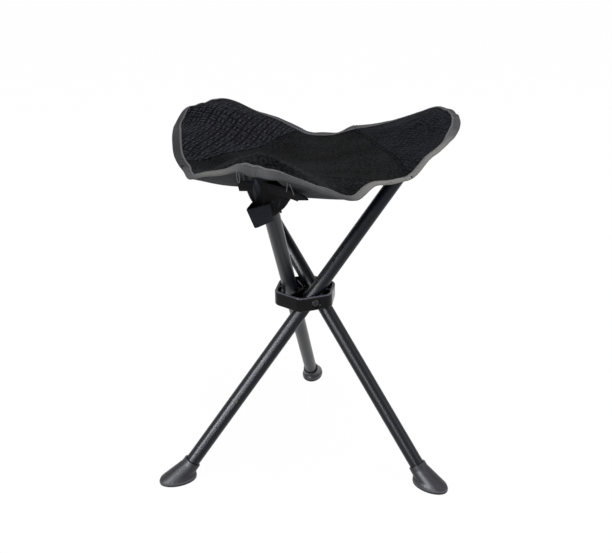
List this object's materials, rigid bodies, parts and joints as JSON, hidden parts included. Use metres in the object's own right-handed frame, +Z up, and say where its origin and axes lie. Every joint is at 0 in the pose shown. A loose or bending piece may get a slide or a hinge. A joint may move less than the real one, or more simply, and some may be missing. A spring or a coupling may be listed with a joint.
{
  "type": "folding tripod stool",
  "caption": "Folding camping stool: tube legs cross and pivot in a plastic ring and spread a cornered cloth seat with a bound edge; rubber boots meet the floor.",
  "frame": {"origin": "centre of the overall box, at floor level", "axes": "+Z up; -Y towards the side the picture was taken from"},
  "size_m": [0.3422, 0.36, 0.392],
  "materials": {
    "hub_plastic": "glossy",
    "tube_paint": "semi-gloss",
    "nylon": "satin",
    "foot_rubber": "matte",
    "rivet_steel": "blackened",
    "seat_cloth": "woven",
    "patch_cloth": "woven, printed",
    "pocket_cloth": "woven",
    "binding_tape": "woven tape",
    "webbing": "woven webbing"
  },
  "bodies": {
    "hub": {"hub_ring": "hub_plastic", "pivot_rivet_a": "rivet_steel", "pivot_rivet_b": "rivet_steel", "pivot_rivet_c": "rivet_steel", "seat_panel": "seat_cloth", "edge_binding": "binding_tape"},
    "leg_a": {"leg_tube_a": "tube_paint", "leg_cap_a": "nylon", "rubber_foot_a": "foot_rubber", "outer_saddle_a": "nylon", "inner_saddle_a": "nylon", "leg_pocket_a": "pocket_cloth", "pocket_webbing_a": "webbing", "corner_patch_a": "patch_cloth"},
    "leg_b": {"leg_tube_b": "tube_paint", "leg_cap_b": "nylon", "rubber_foot_b": "foot_rubber", "outer_saddle_b": "nylon", "inner_saddle_b": "nylon", "leg_pocket_b": "pocket_cloth", "pocket_webbing_b": "webbing", "corner_patch_b": "patch_cloth", "closing_strap": "webbing"},
    "leg_c": {"leg_tube_c": "tube_paint", "leg_cap_c": "nylon", "rubber_foot_c": "foot_rubber", "outer_saddle_c": "nylon", "inner_saddle_c": "nylon", "leg_pocket_c": "pocket_cloth", "pocket_webbing_c": "webbing", "corner_patch_c": "patch_cloth"}
  },
  "joints": [
    {"name": "leg_a_fold", "type": "hinge", "parent": "hub", "child": "leg_a", "pos_m": [0.00064, -0.0186, 0.197], "axis": [0.3633, -0.9317, 0], "range_deg": [0, 36], "deforming": ["corner_patch_a", "leg_pocket_a", "pocket_webbing_a", "seat_panel", "edge_binding"]},
    {"name": "leg_b_fold", "type": "hinge", "parent": "hub", "child": "leg_b", "pos_m": [-0.02072, -0.00148, 0.197], "axis": [-0.9885, 0.1513, 0], "range_deg": [0, 36], "deforming": ["corner_patch_b", "leg_pocket_b", "pocket_webbing_b", "closing_strap"]},
    {"name": "leg_c_fold", "type": "hinge", "parent": "hub", "child": "leg_c", "pos_m": [0.00478, 0.00846, 0.197], "axis": [0.6252, 0.7804, 0], "range_deg": [0, 36], "deforming": ["corner_patch_c", "leg_pocket_c", "pocket_webbing_c"]}
  ],
  "couplings": [
    {"joint": "leg_b_fold", "follows": "leg_a_fold", "ratio": 1},
    {"joint": "leg_c_fold", "follows": "leg_a_fold", "ratio": 1}
  ]
}
